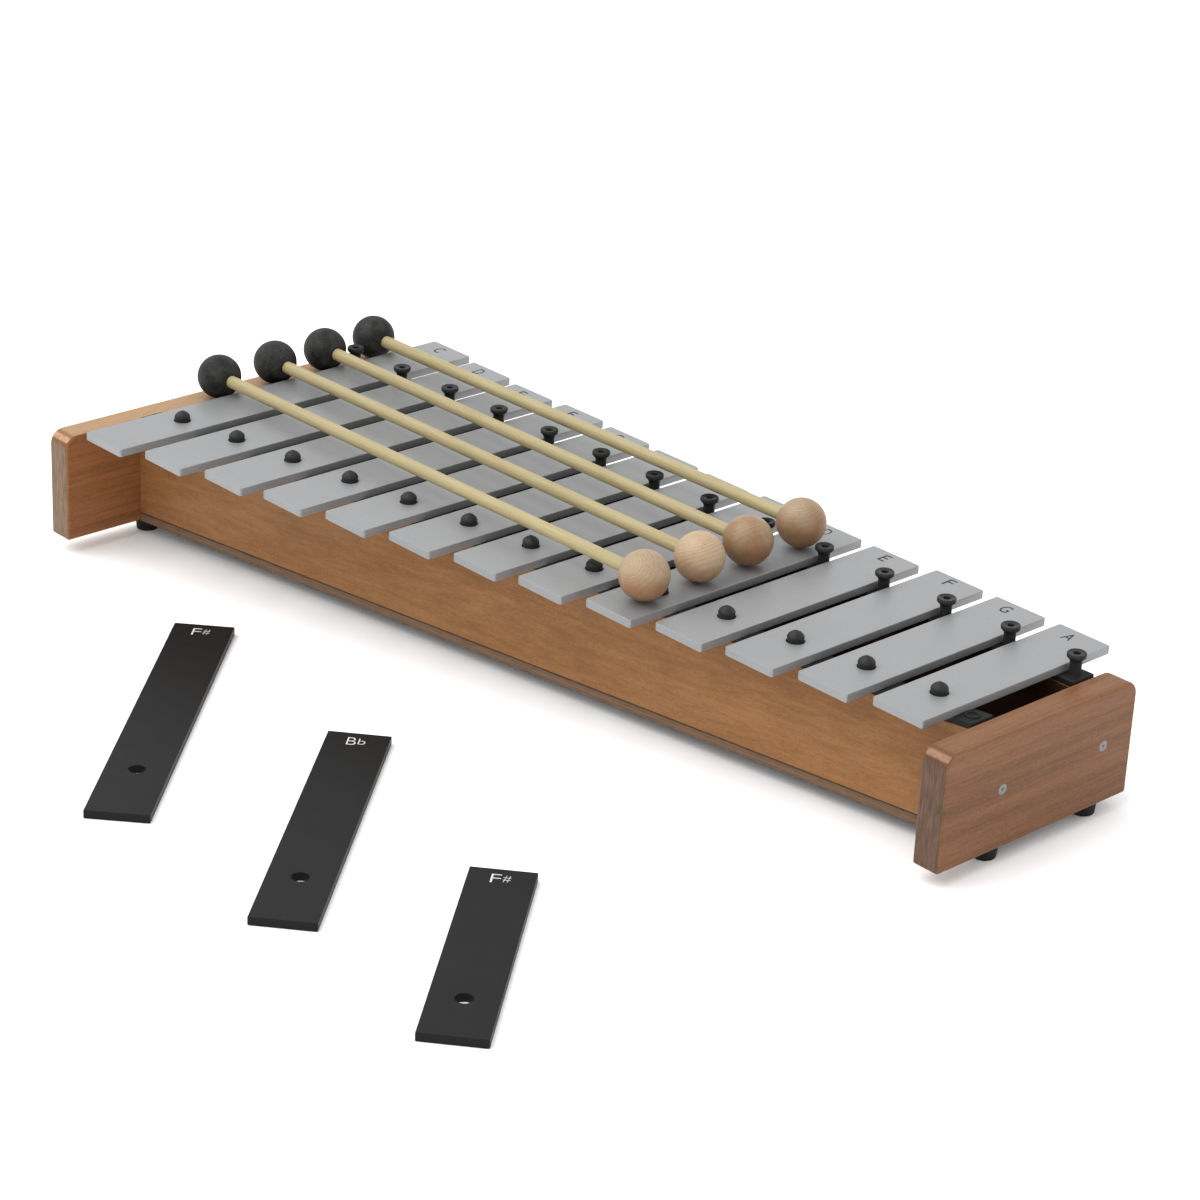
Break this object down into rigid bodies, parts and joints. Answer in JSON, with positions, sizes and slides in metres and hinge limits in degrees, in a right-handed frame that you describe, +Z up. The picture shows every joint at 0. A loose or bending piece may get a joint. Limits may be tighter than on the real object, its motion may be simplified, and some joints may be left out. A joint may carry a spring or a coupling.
{
  "type": "diatonic bar glockenspiel",
  "caption": "Table-top mallet instrument: flat metal bars in pitch order on a slanted wooden resonance box, with spare chromatic bars and double-ended mallets.",
  "frame": {"origin": "on the table, under the middle of the whole set's box", "axes": "+X from the long low bar to the short high bar, +Y from the player to the rear, +Z up"},
  "size_m": [0.4444, 0.3288, 0.0787],
  "materials": {
    "bar_metal": "matte silver-grey plating, a little darker on the cut sides",
    "spare_metal": "satin charcoal black",
    "handle_wood": "pale straight-grained dowel, oiled",
    "head_wood": "turned beech, satin",
    "head_rubber": "matte black rubber",
    "plate_wood": "red-brown stained wood, satin",
    "rail_wood": "orange-brown stained wood, satin",
    "board_wood": "stained plywood",
    "strip_rubber": "matte black foam rubber",
    "black_moulding": "soft black moulding",
    "foot_rubber": "matte black rubber",
    "screw_steel": "zinc plated"
  },
  "bodies": {
    "box": {"low_end_plate": "plate_wood", "high_end_plate": "plate_wood", "front_rail": "rail_wood", "rear_rail": "rail_wood", "bottom_board": "board_wood", "front_strip": "strip_rubber", "rear_strip": "strip_rubber", "front_pins": "black_moulding", "front_pin_nails": "screw_steel", "rear_posts": "black_moulding", "rear_post_nails": "screw_steel", "plate_screws": "screw_steel", "feet": "foot_rubber", "foot_screws": "screw_steel"},
    "bar_c5": {"bar_c5": "bar_metal"},
    "bar_d5": {"bar_d5": "bar_metal"},
    "bar_e5": {"bar_e5": "bar_metal"},
    "bar_f5": {"bar_f5": "bar_metal"},
    "bar_g5": {"bar_g5": "bar_metal"},
    "bar_a5": {"bar_a5": "bar_metal"},
    "bar_b5": {"bar_b5": "bar_metal"},
    "bar_c6": {"bar_c6": "bar_metal"},
    "bar_d6": {"bar_d6": "bar_metal"},
    "bar_e6": {"bar_e6": "bar_metal"},
    "bar_f6": {"bar_f6": "bar_metal"},
    "bar_g6": {"bar_g6": "bar_metal"},
    "bar_a6": {"bar_a6": "bar_metal"},
    "spare_f_sharp_5": {"spare_f_sharp_5": "spare_metal"},
    "spare_b_flat_5": {"spare_b_flat_5": "spare_metal"},
    "spare_f_sharp_6": {"spare_f_sharp_6": "spare_metal"},
    "mallet_1": {"mallet_1_handle": "handle_wood", "mallet_1_wood_head": "head_wood", "mallet_1_rubber_head": "head_rubber"},
    "mallet_2": {"mallet_2_handle": "handle_wood", "mallet_2_wood_head": "head_wood", "mallet_2_rubber_head": "head_rubber"},
    "mallet_3": {"mallet_3_handle": "handle_wood", "mallet_3_wood_head": "head_wood", "mallet_3_rubber_head": "head_rubber"},
    "mallet_4": {"mallet_4_handle": "handle_wood", "mallet_4_wood_head": "head_wood", "mallet_4_rubber_head": "head_rubber"}
  },
  "joints": [
    {"name": "tip_bar_c5", "type": "hinge", "parent": "box", "child": "bar_c5", "pos_m": [-0.1896, 0.12757, 0.0547], "axis": [-1, 0, 0], "range_deg": [0, 0.5]},
    {"name": "tip_bar_d5", "type": "hinge", "parent": "box", "child": "bar_d5", "pos_m": [-0.158, 0.12861, 0.0547], "axis": [-1, 0, 0], "range_deg": [0, 2.2]},
    {"name": "tip_bar_e5", "type": "hinge", "parent": "box", "child": "bar_e5", "pos_m": [-0.1264, 0.12965, 0.0547], "axis": [-1, 0, 0], "range_deg": [0, 2.5]},
    {"name": "tip_bar_f5", "type": "hinge", "parent": "box", "child": "bar_f5", "pos_m": [-0.0948, 0.1307, 0.0547], "axis": [-1, 0, 0], "range_deg": [0, 2.8]},
    {"name": "tip_bar_g5", "type": "hinge", "parent": "box", "child": "bar_g5", "pos_m": [-0.0632, 0.13174, 0.0547], "axis": [-1, 0, 0], "range_deg": [0, 3.2]},
    {"name": "tip_bar_a5", "type": "hinge", "parent": "box", "child": "bar_a5", "pos_m": [-0.0316, 0.13278, 0.0547], "axis": [-1, 0, 0], "range_deg": [0, 3.5]},
    {"name": "tip_bar_b5", "type": "hinge", "parent": "box", "child": "bar_b5", "pos_m": [0, 0.13382, 0.0547], "axis": [-1, 0, 0], "range_deg": [0, 3.7]},
    {"name": "tip_bar_c6", "type": "hinge", "parent": "box", "child": "bar_c6", "pos_m": [0.0316, 0.13486, 0.0547], "axis": [-1, 0, 0], "range_deg": [0, 4]},
    {"name": "tip_bar_d6", "type": "hinge", "parent": "box", "child": "bar_d6", "pos_m": [0.0632, 0.1359, 0.0547], "axis": [-1, 0, 0], "range_deg": [0, 1.5]},
    {"name": "tip_bar_e6", "type": "hinge", "parent": "box", "child": "bar_e6", "pos_m": [0.0948, 0.13695, 0.0547], "axis": [-1, 0, 0], "range_deg": [0, 12]},
    {"name": "tip_bar_f6", "type": "hinge", "parent": "box", "child": "bar_f6", "pos_m": [0.1264, 0.13799, 0.0547], "axis": [-1, 0, 0], "range_deg": [0, 12]},
    {"name": "tip_bar_g6", "type": "hinge", "parent": "box", "child": "bar_g6", "pos_m": [0.158, 0.13903, 0.0547], "axis": [-1, 0, 0], "range_deg": [0, 12]},
    {"name": "tip_bar_a6", "type": "hinge", "parent": "box", "child": "bar_a6", "pos_m": [0.1896, 0.14007, 0.0547], "axis": [-1, 0, 0], "range_deg": [0, 12]},
    {"name": "lift_spare_f_sharp_5", "type": "slide", "parent": "box", "child": "spare_f_sharp_5", "axis": [0, 0, 1], "range_m": [0, 0.05]},
    {"name": "lift_spare_b_flat_5", "type": "slide", "parent": "box", "child": "spare_b_flat_5", "axis": [0, 0, 1], "range_m": [0, 0.05]},
    {"name": "lift_spare_f_sharp_6", "type": "slide", "parent": "box", "child": "spare_f_sharp_6", "axis": [0, 0, 1], "range_m": [0, 0.05]},
    {"name": "lift_mallet_1", "type": "slide", "parent": "bar_d6", "child": "mallet_1", "axis": [0, 0, 1], "range_m": [0, 0.08]},
    {"name": "lift_mallet_2", "type": "slide", "parent": "bar_d6", "child": "mallet_2", "axis": [0, 0, 1], "range_m": [0, 0.08]},
    {"name": "lift_mallet_3", "type": "slide", "parent": "bar_d6", "child": "mallet_3", "axis": [0, 0, 1], "range_m": [0, 0.08]},
    {"name": "lift_mallet_4", "type": "slide", "parent": "bar_d6", "child": "mallet_4", "axis": [0, 0, 1], "range_m": [0, 0.08]}
  ]
}
